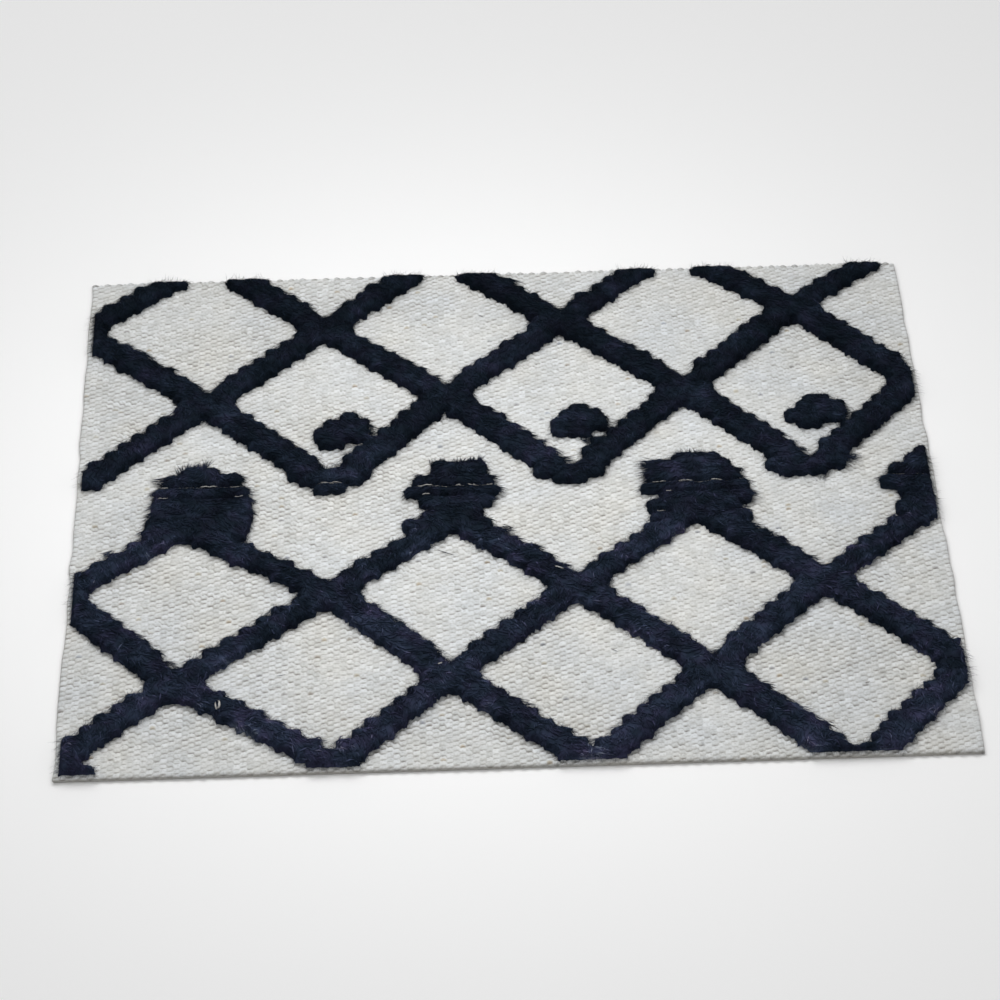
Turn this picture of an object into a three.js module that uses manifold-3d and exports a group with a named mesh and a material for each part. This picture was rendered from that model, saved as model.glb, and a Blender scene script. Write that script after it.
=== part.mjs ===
// A kilim rug: a cut length of cream weft-faced ground, with dark pile bands knotted into it in a
// diamond trellis, a broken row with stepped blocks across its middle, and a small leaf-shaped dot
// in each diamond above that row. It lies flat, as one woven piece.
//
// Millimetres. X runs along the weft and Y along the warp, away from the front edge; Z is up. The
// origin is the middle of the underside.

import * as THREE from "three";
import { mergeVertices } from "three/addons/utils/BufferGeometryUtils.js";
import Module from "manifold-3d";

// The cloth
const warpPitch = 4;
const warpCount = 140;
const groundThickness = 4;
const groundWidth = warpPitch * warpCount;

// The pile, knotted in rows over the warps, with a bare strip down each side and across each end
const pileHeight = 8;
const pileRowPitch = 7.5;
const pileRowCount = 62;
const bareWarps = 1;
const bareEnd = 3;
const groundDepth = pileRowPitch * pileRowCount + 2 * bareEnd;

// How far the pile's solid reaches down into the ground it is tied through, and how much further
// out the ends of every other row stand
const pileRoot = 2;
const endStagger = 0.5;

// The trellis. Bands cross in rows, listed from the back of the rug to the front. Each row has the
// y of its middle, the x of its first crossing in from the left edge, the spacing of its crossings,
// how much higher each crossing lies than the one before, how far the row's ends bow back, and how
// far to the front of a crossing the angle below it is filled with knots.
const trellisRows = [
  { name: "back", y: 252, x: -199, spacing: 161, climb: -1, bow: 0, fill: 6 },
  { name: "upperA", y: 177, x: -279, spacing: 161, climb: 2.5, bow: 3.3, fill: 6 },
  { name: "upperB", y: 103, x: -197, spacing: 160, climb: 1.5, bow: 0, fill: 7 },
  { name: "zigzag", y: 18, x: -113, spacing: 156.5, climb: 0.4, bow: 0, fill: 0 },
  { name: "peaks", y: -18, x: -208, spacing: 163, climb: 2, bow: 0, fill: 12 },
  { name: "lowerA", y: -84, x: -115, spacing: 157, climb: 0, bow: 0, fill: 14 },
  { name: "lowerB", y: -160, x: -202, spacing: 162, climb: 0, bow: 0, fill: 15 },
  { name: "front", y: -240, x: -112, spacing: 157, climb: -5, bow: 0, fill: 0 },
  { name: "past", y: -309, x: -198, spacing: 160, climb: 0, bow: 0, fill: 0 },
];

// Crossings are numbered from the left. The ones before the first and after the last lie past the
// rug's edges, where the bands are cut off. Some lie a little out of their row, as woven by hand.
const firstCrossing = -1;
const lastCrossing = 4;
const middleCrossing = 1.5;
const innerCrossing = 0.5;
const nudges = [
  { row: "upperA", crossing: 0, right: -7, back: 0 },
  { row: "upperB", crossing: 3, right: -4, back: 0 },
  { row: "zigzag", crossing: -1, right: -14, back: 0 },
  { row: "zigzag", crossing: 0, right: 0, back: -1 },
  { row: "zigzag", crossing: 2, right: 0, back: 1.5 },
  { row: "peaks", crossing: 1, right: 11, back: 0 },
  { row: "peaks", crossing: 2, right: 5, back: 2 },
  { row: "lowerA", crossing: -1, right: -14, back: 4 },
  { row: "lowerB", crossing: 0, right: -8, back: 0 },
  { row: "lowerB", crossing: 3, right: -5, back: -3 },
  { row: "front", crossing: -1, right: -10, back: 4 },
  { row: "front", crossing: 2, right: 2, back: -6 },
];

// Bands join each row to the next, except where the trellis is broken below the zigzag. A band
// reaches less than this share of a spacing sideways. Its sides lie this many warps from its line,
// for the bands that run down to the right and those that run up to the right.
const breakAfter = "zigzag";
const bandReach = 0.75;
const bandSides = {
  down: { left: 3.3, right: 3.8 },
  up: { left: 4, right: 2.7 },
};

// The filled angle below a crossing: how far it starts behind the crossing, and its half width
const jointBack = 6;
const jointWarps = 4.8;

// Stepped shapes of pile: blocks on the peaks, leaf-shaped dots, and the zigzag's blunt points. Each
// has its x, its far edge, the depth of a step, and the warps to the left and to the right of x in
// each step, from the far side to the near side.
const shapes = {
  firstBlock: {
    x: -200, farEdge: 37.4, stepDepth: 10,
    left: [3, 5.8, 7.3, 7.7, 7.8, 8.6, 9], right: [3.2, 7, 8, 8.8, 8.9, 8.5, 8],
  },
  secondBlock: {
    x: -36, farEdge: 37, stepDepth: 8.3,
    left: [3.1, 3.3, 6.2, 7.5, 5.3, 3.7, 5.2, 8], right: [5.9, 6, 7, 7.9, 6.6, 4.9, 5.2, 6.6],
  },
  thirdBlock: {
    x: 124, farEdge: 38.2, stepDepth: 9.3,
    left: [4, 7.6, 8.2, 9.2, 6.1, 8.5, 8.2], right: [4.5, 5.9, 7, 8.4, 8.8, 6.8, 8.5],
  },
  fourthBlock: {
    x: 284, farEdge: 38, stepDepth: 9,
    left: [3.7, 5.5, 8.5, 10.2, 7.5, 7, 8.3], right: [9, 9, 9, 9, 9, 9, 9],
  },
  firstDot: {
    x: -108, farEdge: 87.8, stepDepth: 8.4,
    left: [0.3, 2.6, 4.3, 3.5], right: [2.9, 4.8, 4.7, 0.9],
  },
  secondDot: {
    x: 46, farEdge: 90.6, stepDepth: 7.8,
    left: [0.6, 2.2, 3.6, 3.4], right: [3, 4.9, 5.8, 3.2],
  },
  thirdDot: {
    x: 202, farEdge: 93.4, stepDepth: 8.15,
    left: [0.3, 1.5, 3.6, 1.7], right: [4.4, 6.5, 6.5, 2.3],
  },
  firstPoint: {
    x: -113, farEdge: 33.2, stepDepth: 7.7,
    left: [7.6, 5.6, 3.3], right: [6.5, 5.1, 2.3],
  },
  secondPoint: {
    x: 43, farEdge: 30, stepDepth: 7.8,
    left: [6.5, 3.3], right: [5.5, 2.8],
  },
  thirdPoint: {
    x: 200, farEdge: 30.9, stepDepth: 7.9,
    left: [7.7, 5.5], right: [5.8, 3],
  },
};

function crossings(row) {
  const places = [];
  for (let i = firstCrossing; i <= lastCrossing; i += 1) {
    const across = i - middleCrossing;
    const bow = row.bow * (across ** 2 - innerCrossing ** 2);
    const nudge = nudges.find((each) => each.row === row.name && each.crossing === i);
    places.push({
      x: row.x + row.spacing * i + (nudge ? nudge.right : 0),
      y: row.y + row.climb * across + bow + (nudge ? nudge.back : 0),
    });
  }
  return places;
}

// Bands as straight links from a crossing to the nearest crossings of the next row
function bands() {
  const links = [];
  trellisRows.slice(0, -1).forEach((row, i) => {
    if (row.name === breakAfter) return;
    for (const far of crossings(row)) {
      for (const near of crossings(trellisRows[i + 1])) {
        if (Math.abs(far.x - near.x) < row.spacing * bandReach) links.push({ far, near });
      }
    }
  });
  return links;
}

// Runs of pile in the knotted row whose middle is at y, each as its two ends in x
function pileRuns(y, links) {
  const runs = [];
  const addRun = (x, left, right) => runs.push([x - left * warpPitch, x + right * warpPitch]);
  for (const { far, near } of links) {
    if (y > far.y || y < near.y) continue;
    const share = (far.y - y) / (far.y - near.y);
    const sides = near.x > far.x ? bandSides.down : bandSides.up;
    addRun(far.x + (near.x - far.x) * share, sides.left, sides.right);
  }
  for (const row of trellisRows.filter((each) => each.fill > 0)) {
    for (const joint of crossings(row)) {
      if (y > joint.y + jointBack || y < joint.y - row.fill) continue;
      addRun(joint.x, jointWarps, jointWarps);
    }
  }
  for (const { x, farEdge, stepDepth, left, right } of Object.values(shapes)) {
    const step = Math.floor((farEdge - y) / stepDepth);
    if (step >= 0 && step < left.length) addRun(x, left[step], right[step]);
  }
  return joinRuns(runs.map(snapToWarps).filter(([start, end]) => end > start));
}

function snapToWarps([start, end]) {
  const edge = groundWidth / 2 - bareWarps * warpPitch;
  const snap = (x) => Math.round(x / warpPitch) * warpPitch;
  return [Math.max(snap(start), -edge), Math.min(snap(end), edge)];
}

function joinRuns(runs) {
  const joined = [];
  for (const run of [...runs].sort((a, b) => a[0] - b[0])) {
    const last = joined[joined.length - 1];
    if (last && run[0] <= last[1]) last[1] = Math.max(last[1], run[1]);
    else joined.push([...run]);
  }
  return joined;
}

const wasm = await Module();
wasm.setup();

function toSolid(geometry) {
  const bare = geometry.clone();
  bare.deleteAttribute("normal");
  bare.deleteAttribute("uv");
  const merged = mergeVertices(bare);
  return new wasm.Manifold(new wasm.Mesh({
    numProp: 3,
    vertProperties: new Float32Array(merged.attributes.position.array),
    triVerts: new Uint32Array(merged.index.array),
  }));
}

function toGeometry(solid) {
  const mesh = solid.getMesh();
  const geometry = new THREE.BufferGeometry();
  geometry.setAttribute("position", new THREE.BufferAttribute(mesh.vertProperties, mesh.numProp));
  geometry.setIndex(new THREE.BufferAttribute(mesh.triVerts, 1));
  geometry.computeVertexNormals();
  return geometry;
}

function groundGeometry() {
  const slab = new THREE.BoxGeometry(groundWidth, groundDepth, groundThickness);
  return slab.translate(0, 0, groundThickness / 2);
}

function runGeometry([start, end], nearEdge, stagger) {
  const height = pileHeight + pileRoot;
  const bar = new THREE.BoxGeometry(end - start + 2 * stagger, pileRowPitch, height);
  const base = groundThickness - pileRoot;
  return bar.translate((start + end) / 2, nearEdge + pileRowPitch / 2, base + height / 2);
}

function rugSolid() {
  const links = bands();
  let solid = toSolid(groundGeometry());
  for (let i = 0; i < pileRowCount; i += 1) {
    const nearEdge = -groundDepth / 2 + bareEnd + i * pileRowPitch;
    const stagger = i % 2 ? endStagger : 0;
    for (const run of pileRuns(nearEdge + pileRowPitch / 2, links)) {
      solid = solid.add(toSolid(runGeometry(run, nearEdge, stagger)));
    }
  }
  return solid;
}

const wool = new THREE.MeshStandardMaterial({ color: 0xd9d8d0, roughness: 0.95, metalness: 0 });

const rug = new THREE.Mesh(toGeometry(rugSolid()), wool);
rug.name = "rug";

const object = new THREE.Group();
object.add(rug);

export default object;
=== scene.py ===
"""A cream kilim rug with dark knotted pile: one woven ground, and the pile as brushed locks of wool.

Lengths are in millimetres until a mesh is made. X runs along the weft and Y along the warp, away
from the front edge; Z is up. The origin is the middle of the underside.
"""

import math

import bpy
import numpy as np
from mathutils import Matrix, Vector


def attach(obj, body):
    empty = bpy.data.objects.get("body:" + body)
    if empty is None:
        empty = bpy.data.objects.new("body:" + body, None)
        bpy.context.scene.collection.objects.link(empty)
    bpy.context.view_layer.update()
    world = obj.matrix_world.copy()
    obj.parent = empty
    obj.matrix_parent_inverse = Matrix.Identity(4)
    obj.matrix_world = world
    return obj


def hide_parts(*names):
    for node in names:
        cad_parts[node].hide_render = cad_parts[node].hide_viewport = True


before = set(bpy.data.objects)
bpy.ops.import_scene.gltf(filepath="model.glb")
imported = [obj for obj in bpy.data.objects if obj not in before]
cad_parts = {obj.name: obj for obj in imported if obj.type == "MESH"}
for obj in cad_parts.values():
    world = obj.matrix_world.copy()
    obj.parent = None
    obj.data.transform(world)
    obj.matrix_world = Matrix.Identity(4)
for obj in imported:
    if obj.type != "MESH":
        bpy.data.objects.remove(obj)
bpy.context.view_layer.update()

MM = 0.001
BAKE_MAP = "OFBake"

# The camera, fitted to the crossings of the trellis: its place, and its three turns in degrees
CAMERA_PLACE = (-48.1, -1675.8, 1537.4)
CAMERA_DOWN = 42.451
CAMERA_YAW = -1.503
CAMERA_ROLL = -0.677
LENS = 126
SENSOR = 36

# The cloth and its rows of knots
WARP_PITCH = 4.0
WARP_COUNT = 140
GROUND_TOP = 4.0
ROW_PITCH = 7.5
ROW_COUNT = 62
BARE_END = 3.0
WIDTH = WARP_PITCH * WARP_COUNT
DEPTH = ROW_PITCH * ROW_COUNT + 2 * BARE_END

# The warps on either side of a band's line, by the way it runs
BAND_SIDES = {
    # kind: left, right
    "down": (3.3, 3.8),
    "up": (4.0, 2.7),
}

# The trellis, as in the CAD: each row's y, the x of its first crossing, their spacing, how much
# each lies higher than the last, how the ends bow back, and how far the joints are filled
TRELLIS_ROWS = [
    # name, y, x, spacing, climb, bow, fill
    ("back", 252, -199, 161, -1, 0, 6),
    ("upper_a", 177, -279, 161, 2.5, 3.3, 6),
    ("upper_b", 103, -197, 160, 1.5, 0, 7),
    ("zigzag", 18, -113, 156.5, 0.4, 0, 0),
    ("peaks", -18, -208, 163, 2, 0, 12),
    ("lower_a", -84, -115, 157, 0, 0, 14),
    ("lower_b", -160, -202, 162, 0, 0, 15),
    ("front", -240, -112, 157, -5, 0, -1),
    ("past", -309, -198, 160, 0, 0, -1),
]
CROSSINGS = range(-1, 5)
MIDDLE_CROSSING = 1.5
INNER_CROSSING = 0.5

# Below this row the trellis is broken. A band reaches less than this share of a spacing sideways
BREAK_AFTER = "zigzag"
BAND_REACH = 0.75

# Crossings that lie a little out of their row
NUDGES = {
    # row, crossing: right, back
    ("upper_a", 0): (-7, 0),
    ("upper_b", 3): (-4, 0),
    ("zigzag", -1): (-14, 0),
    ("zigzag", 0): (0, -1),
    ("zigzag", 2): (0, 1.5),
    ("peaks", 1): (11, 0),
    ("peaks", 2): (5, 2),
    ("lower_a", -1): (-14, 4),
    ("lower_b", 0): (-8, 0),
    ("lower_b", 3): (-5, -3),
    ("front", -1): (-10, 4),
    ("front", 2): (2, -6),
}

# Stepped shapes of pile: blocks on the peaks, leaf-shaped dots, and the zigzag's blunt points
SHAPES = [
    # kind, x, far edge, depth of a row, warps to its left and right in each row, rows under a slit
    ("block", -200, 37.4, 10.0,
     (3, 5.8, 7.3, 7.7, 7.8, 8.6, 9), (3.2, 7, 8, 8.8, 8.9, 8.5, 8), (2, 3)),
    ("block", -36, 37.0, 8.3,
     (3.1, 3.3, 6.2, 7.5, 5.3, 3.7, 5.2, 8), (5.9, 6.0, 7, 7.9, 6.6, 4.9, 5.2, 6.6), (3, 4)),
    ("block", 124, 38.2, 9.3,
     (4, 7.6, 8.2, 9.2, 6.1, 8.5, 8.2), (4.5, 5.9, 7, 8.4, 8.8, 6.8, 8.5), (3, 4, 6)),
    ("block", 284, 38.0, 9.0,
     (3.7, 5.5, 8.5, 10.2, 7.5, 7, 8.3), (9, 9, 9, 9, 9, 9, 9), (3, 5)),
    ("dot", -108, 87.8, 8.4, (0.3, 2.6, 4.3, 3.5), (2.9, 4.8, 4.7, 0.9), ()),
    ("dot", 46, 90.6, 7.8, (0.6, 2.2, 3.6, 3.4), (3, 4.9, 5.8, 3.2), ()),
    ("dot", 202, 93.4, 8.15, (0.3, 1.5, 3.6, 1.7), (4.4, 6.5, 6.5, 2.3), ()),
    ("vee", -113, 33.2, 7.7, (7.6, 5.6, 3.3), (6.5, 5.1, 2.3), (2,)),
    ("vee", 43, 30.0, 7.8, (6.5, 3.3), (5.5, 2.8), ()),
    ("vee", 200, 30.9, 7.9, (7.7, 5.5), (5.8, 3), ()),
]

# The rows of a block that make its tower, and the x of the blocks whose far end is rounded
TOWER_ROWS = 5
ROUND_TOPS = (-200, 124)

# The cream weft that shows in the slits, from the x of the shape
SLIT_THREADS = [
    # number of the shape, row under the slit, start, end
    (0, 2, -25, -20), (0, 2, 1, 12), (0, 2, 20, 28), (0, 3, -27, -20), (0, 3, 23, 29),
    (1, 3, -22, -12), (1, 3, 3, 6), (1, 3, 11, 17), (1, 3, 23, 27), (1, 4, -19, -14),
    (2, 3, -29, -20), (2, 3, -12, -2), (2, 3, 9, 17), (2, 4, -21, -17), (2, 6, -28, -22),
    (7, 2, -8, 7),
]

# The slits where that weft also lies sunk from end to end
SUNK_THREADS = [
    # number of the shape, row under the slit
    (0, 2), (1, 3), (2, 3), (3, 3), (7, 2),
]

# Cream loops of the ground that show in the pile: x, y, heading in degrees, length
CREAM_LOOPS = [
    (-183.4, -186, 97, 6), (-182.8, -185.5, 94, 7), (-182.2, -185.5, 92, 6), (-181.7, -185, 90, 5),
    (28, -70, -20, 6), (-48, -153, 30, 3), (214, -176, 10, 3),
]


def crossings(row):
    name, y, x, spacing, climb, bow, _ = row
    places = []
    for i in CROSSINGS:
        across = i - MIDDLE_CROSSING
        rise = bow * (across ** 2 - INNER_CROSSING ** 2)
        right, back = NUDGES.get((name, i), (0, 0))
        places.append((x + spacing * i + right, y + climb * across + rise + back))
    return places


def bands():
    links = []
    for row, following in zip(TRELLIS_ROWS[:-1], TRELLIS_ROWS[1:]):
        if row[0] == BREAK_AFTER:
            continue
        reach = row[3] * BAND_REACH
        links += [
            (far, near, following[0] == BREAK_AFTER)
            for far in crossings(row) for near in crossings(following)
            if abs(far[0] - near[0]) < reach
        ]
    return links


def blend_corners(at, i, j, across, along):
    """A value inside a cell of a grid, from the values at its corners."""
    near = at(i, j) * (1 - across) + at(i + 1, j) * across
    far = at(i, j + 1) * (1 - across) + at(i + 1, j + 1) * across
    return near * (1 - along) + far * along


TINY = 1e-9
NOISE_CELLS = 64


def unit(vectors):
    return vectors / (np.linalg.norm(vectors, axis=-1, keepdims=True) + TINY)


def smooth_noise(x, y, size, seed):
    """Soft random values from -1 to 1 over the cloth, in patches of the given size."""
    rng = np.random.default_rng(seed)
    grid = rng.uniform(-1, 1, (NOISE_CELLS, NOISE_CELLS))
    u = (np.asarray(x, float) + WIDTH) / size
    v = (np.asarray(y, float) + WIDTH) / size
    i, j = np.floor(u).astype(int), np.floor(v).astype(int)
    fu, fv = u - i, v - j
    fu, fv = fu * fu * (3 - 2 * fu), fv * fv * (3 - 2 * fv)
    return blend_corners(lambda a, b: grid[a % NOISE_CELLS, b % NOISE_CELLS], i, j, fu, fv)


def noises(x, y, table):
    """The sum of several noises, each given as its amount, the size of its patches and its seed."""
    return sum(amount * smooth_noise(x, y, size, seed) for amount, size, seed in table)


def add_object(name, data):
    added = bpy.data.objects.new(name, data)
    bpy.context.scene.collection.objects.link(added)
    return added


def make_mesh(name, points, loops, sizes, uv, material):
    """A smooth mesh object from points in millimetres, its faces' corners and their counts."""
    mesh = bpy.data.meshes.new(name)
    mesh.vertices.add(len(points))
    mesh.vertices.foreach_set("co", (points * MM).astype(np.float32).ravel())
    mesh.loops.add(len(loops))
    mesh.loops.foreach_set("vertex_index", loops.astype(np.int32))
    mesh.polygons.add(len(sizes))
    starts = np.concatenate([[0], np.cumsum(sizes)[:-1]])
    mesh.polygons.foreach_set("loop_start", starts.astype(np.int32))
    layer = mesh.uv_layers.new(name=BAKE_MAP)
    layer.data.foreach_set("uv", uv[loops].astype(np.float32).ravel())
    mesh.update(calc_edges=True)
    mesh.validate()
    mesh.shade_smooth()
    mesh.materials.append(material)
    return add_object(name, mesh)


class Parts:
    """Points and faces of many small closed shapes, gathered into one mesh."""

    def __init__(self):
        self.points, self.uv, self.loops, self.sizes, self.count = [], [], [], [], 0

    def add(self, points, uv, quads, triangles):
        """Like shapes: points and uv are (shapes, points, n), quads and triangles of one shape."""
        shapes, each = points.shape[:2]
        first = self.count + np.arange(shapes)[:, None] * each
        for faces, corners in ((quads, 4), (triangles, 3)):
            if len(faces):
                index = np.asarray(faces).ravel()[None, :] + first
                self.loops.append(index.ravel())
                self.sizes.append(np.full(shapes * len(faces), corners))
        self.points.append(points.reshape(-1, 3))
        self.uv.append(uv.reshape(-1, 2))
        self.count += shapes * each

    def build(self, name, material):
        join = np.concatenate
        return make_mesh(name, join(self.points), join(self.loops), join(self.sizes),
                         join(self.uv), material)


# The ground: weft-faced plain weave, its floats over each warp in a brick pattern
PICK_COUNT = 224
PICK_PITCH = DEPTH / PICK_COUNT
COLUMNS_PER_WARP = 3
FLOAT_RISE = 0.95
RIB_RISE = 0.55
FLOAT_SLANT = 0.15
FACE_DROP = 0.8
EDGE_DROP = 0.9
EDGE_CALM = 12
UNDERSIDE_CELLS = (70, 56)
UNDERSIDE_INSET = 1

# Where the face and the underside lie along the cloth's map
FACE_START = 0.15
FACE_SHARE = 0.84
UNDERSIDE_START = 0.01
UNDERSIDE_SHARE = 0.1

# How uneven the weave is: tables of noises, and how much differs from one float to the next
GROUND_SEED = 8
STRENGTH_NOISE = [(0.3, 9, 1)]
STRENGTH_CHANCE = 0.45
LEVEL_NOISE = [(0.3, 45, 3)]
LEVEL_CHANCE = 0.22
WANDER_NOISE = [(0.5, 14, 4), (0.9, 60, 5)]
WANDER_CHANCE = 0.55
SWAY_NOISE = [(0.35, 22, 6)]
SWAY_CHANCE = 0.25
SELVEDGE_NOISE = [(0.8, 17, 7)]
SELVEDGE_LINE = 99


def ground_top(columns, rows):
    """Points of the cloth's face on a grid of columns and rows, and their places on its map."""
    inside = (np.arange(columns - 2) + 0.5) / COLUMNS_PER_WARP * WARP_PITCH - WIDTH / 2
    x = np.concatenate([[-WIDTH / 2], inside, [WIDTH / 2]])
    y = np.linspace(-DEPTH / 2, DEPTH / 2, rows)
    x, y = np.meshgrid(x, y, indexing="ij")
    u = (x + WIDTH / 2) / WARP_PITCH
    warp = np.floor(u)
    across = np.clip(u - warp - 0.5, -0.5, 0.5)
    pick = (y + DEPTH / 2) / PICK_PITCH
    rng = np.random.default_rng(GROUND_SEED)
    of_float = np.clip(warp, 0, WARP_COUNT - 1).astype(int)
    row = np.arange(rows)[None, :]

    def chance():
        return rng.uniform(-1, 1, (WARP_COUNT, rows))[of_float, row]

    rib = np.cos(math.pi * across)
    wave = np.cos(math.pi * (pick - FLOAT_SLANT * across + warp))
    strength = 1 + noises(x, y, STRENGTH_NOISE) + STRENGTH_CHANCE * chance()
    z = GROUND_TOP - FACE_DROP + FLOAT_RISE * rib * wave * strength + RIB_RISE * (rib - 0.5)
    z += noises(x, y, LEVEL_NOISE) + LEVEL_CHANCE * chance()
    wander = noises(x, y, WANDER_NOISE) + WANDER_CHANCE * chance()
    fade = np.clip((DEPTH / 2 - np.abs(y)) / EDGE_CALM, 0, 1)
    sway = noises(x, y, SWAY_NOISE) + SWAY_CHANCE * chance()
    selvedge = np.clip((WIDTH / 2 - np.abs(x)) / EDGE_CALM, 0, 1)
    wavy = np.sign(x) * (1 - selvedge) * noises(np.sign(x) * SELVEDGE_LINE, y, SELVEDGE_NOISE)
    points = np.stack([x + sway * selvedge + wavy, y + wander * fade, z], -1)
    edge = (np.abs(x) > WIDTH / 2 - 0.1) | (np.abs(y) > DEPTH / 2 - 0.1)
    points[..., 2] -= EDGE_DROP * edge
    return points, np.stack([x / WIDTH + 0.5, FACE_START + FACE_SHARE * (y / DEPTH + 0.5)], -1)


def grid_quads(columns, rows, first=0, flip=False):
    i, j = np.meshgrid(np.arange(columns - 1), np.arange(rows - 1), indexing="ij")
    a = first + i * rows + j
    quads = np.stack([a, a + rows, a + rows + 1, a + 1], -1).reshape(-1, 4)
    return quads[:, ::-1] if flip else quads


def rim(columns, rows, first=0):
    """The border points of a grid, once round, anticlockwise from its near left corner."""
    i, j = np.arange(columns), np.arange(rows)
    near, right = i * rows, (columns - 1) * rows + j
    far, left = i[::-1] * rows + rows - 1, j[::-1]
    return first + np.concatenate([near[:-1], right[:-1], far[:-1], left[:-1]])


def join_rims(upper, lower, upper_share, lower_share):
    """Triangles between two closed rims, each with its points' shares of the way round."""
    faces, a, b = [], 0, 0
    up = np.append(upper_share, 1.0)
    low = np.append(lower_share, 1.0)
    while a < len(upper) or b < len(lower):
        take_upper = b >= len(lower) or (a < len(upper) and up[a + 1] <= low[b + 1])
        if take_upper:
            faces.append((upper[a], lower[b % len(lower)], upper[(a + 1) % len(upper)]))
            a += 1
        else:
            faces.append((upper[a % len(upper)], lower[b], lower[(b + 1) % len(lower)]))
            b += 1
    return np.array(faces)


def rim_shares(columns, rows):
    """How far round the rug each rim point lies, with each side a quarter of the way."""
    across, along = np.linspace(0, 0.25, columns)[:-1], np.linspace(0, 0.25, rows)[:-1]
    return np.concatenate([across, 0.25 + along, 0.5 + across, 0.75 + along])


def build_ground(material):
    columns, rows = COLUMNS_PER_WARP * WARP_COUNT + 2, PICK_COUNT + 1
    top, top_uv = ground_top(columns, rows)
    low_columns, low_rows = (cells + 1 for cells in UNDERSIDE_CELLS)
    x, y = np.meshgrid(np.linspace(-0.5, 0.5, low_columns), np.linspace(-0.5, 0.5, low_rows),
                       indexing="ij")
    wide, deep = WIDTH - UNDERSIDE_INSET, DEPTH - UNDERSIDE_INSET
    under = np.stack([x * wide, y * deep, np.zeros_like(x)], -1)
    points = np.concatenate([top.reshape(-1, 3), under.reshape(-1, 3)])
    count = columns * rows
    under_uv = np.stack([x + 0.5, UNDERSIDE_START + UNDERSIDE_SHARE * (y + 0.5)], -1)
    uv = np.concatenate([np.clip(top_uv, 0, 1).reshape(-1, 2), under_uv.reshape(-1, 2)])
    quads = np.concatenate([
        grid_quads(columns, rows),
        grid_quads(low_columns, low_rows, count, flip=True),
    ])
    sides = join_rims(rim(columns, rows), rim(low_columns, low_rows, count),
                      rim_shares(columns, rows), rim_shares(low_columns, low_rows))
    loops = np.concatenate([quads.ravel(), sides.ravel()])
    sizes = np.concatenate([np.full(len(quads), 4), np.full(len(sides), 3)])
    return make_mesh("ground", points, loops, sizes, uv, material)


# The pile. A soft dark body of wool stands over the knots, and brushed fibres lie on it. Both are
# worked out on a map of the cloth: how deep each place lies inside the pile, and how it is brushed
MAP_STEP = 1.0
BODY_STEP = 2
OUTSIDE = -9.0
BURIED = -2.5
BARE_EDGE = 3.4
FUZZ_ROOM = 0.3
RIM_PULL = 0.9
INWARD_SOFT = 0.05
NAP_SEED = 61

# The body's height: at its edges, how soon it is full, and how it rises and leans in the middle
EDGE_HEIGHT = 1.0
EDGE_ROUND = 3.8
PILE_RISE = 6.6
CROWN = 0.16
CROWN_REACH = 13
PILE_LEAN = (0.6, -1.3)
LEAN_HEIGHT = 4
RIM_NOISE = [(0.7, 11, 31), (0.5, 5, 32), (0.25, 2.6, 33)]
RISE_NOISE = [(0.5, 30, 34), (0.55, 8, 35), (0.4, 4.2, 36)]

# How the brushing of neighbouring runs blends, by their depth
BLEND_START = 2
BLEND_END = 5
SPREAD_REACH = 12

# The rows of a shape: their corners, their overlap, and how far a tower's parting wanders
STEP_CORNER = 3.0
ROUND_CORNER = 6.5
ROW_OVERLAP = 2.4
SLIT_OVERLAP = -0.35
SPREAD_SHIFT = (-7, 9)

# The rounded ends of a band's rows. Where they stand out, its strip is that much narrower
LUMP_PITCH = 8.6
LUMP_GAP = 0.1
LUMP_CORNER = 2.6
LUMP_SHIFT = 0.6
LUMP_UNEVEN = (0.2, 0.8)
LUMP_SHARE = 5
LUMPS = {
    # kind: least to the left, most to the left, to the right
    "down": (-3.6, -2.8, 1.6),
    "up": (2.6, 5.2, -2.9),
}
PAST_FAR = 5
PAST_NEAR = 14
PAST_BREAK = -4

# The joints, and the angle above each that is kept free
JOINT_REACH = (19.5, 19.0)
JOINT_BACK = 6.0
JOINT_CORNER = 6
NOTCH_HALF = 10
NOTCH_START = 4
NOTCH_BACK = 9.5
NOTCH_SPREAD = 0.75
NOTCH_END = 22.0
NOTCH_SLOPE = 0.8

# The way the fibres lie, by the kind of run, and how far those of a block's tower fall forward
BRUSHED = {
    # kind: x, y
    "down": (0.86, -0.50),
    "up": (0.34, -0.94),
    "joint": (0.70, -0.70),
    "block": (0.70, -0.70),
    "dot": (0.80, -0.45),
    "vee": (0.80, -0.60),
}
BLOCK_FALL = -0.18


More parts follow.
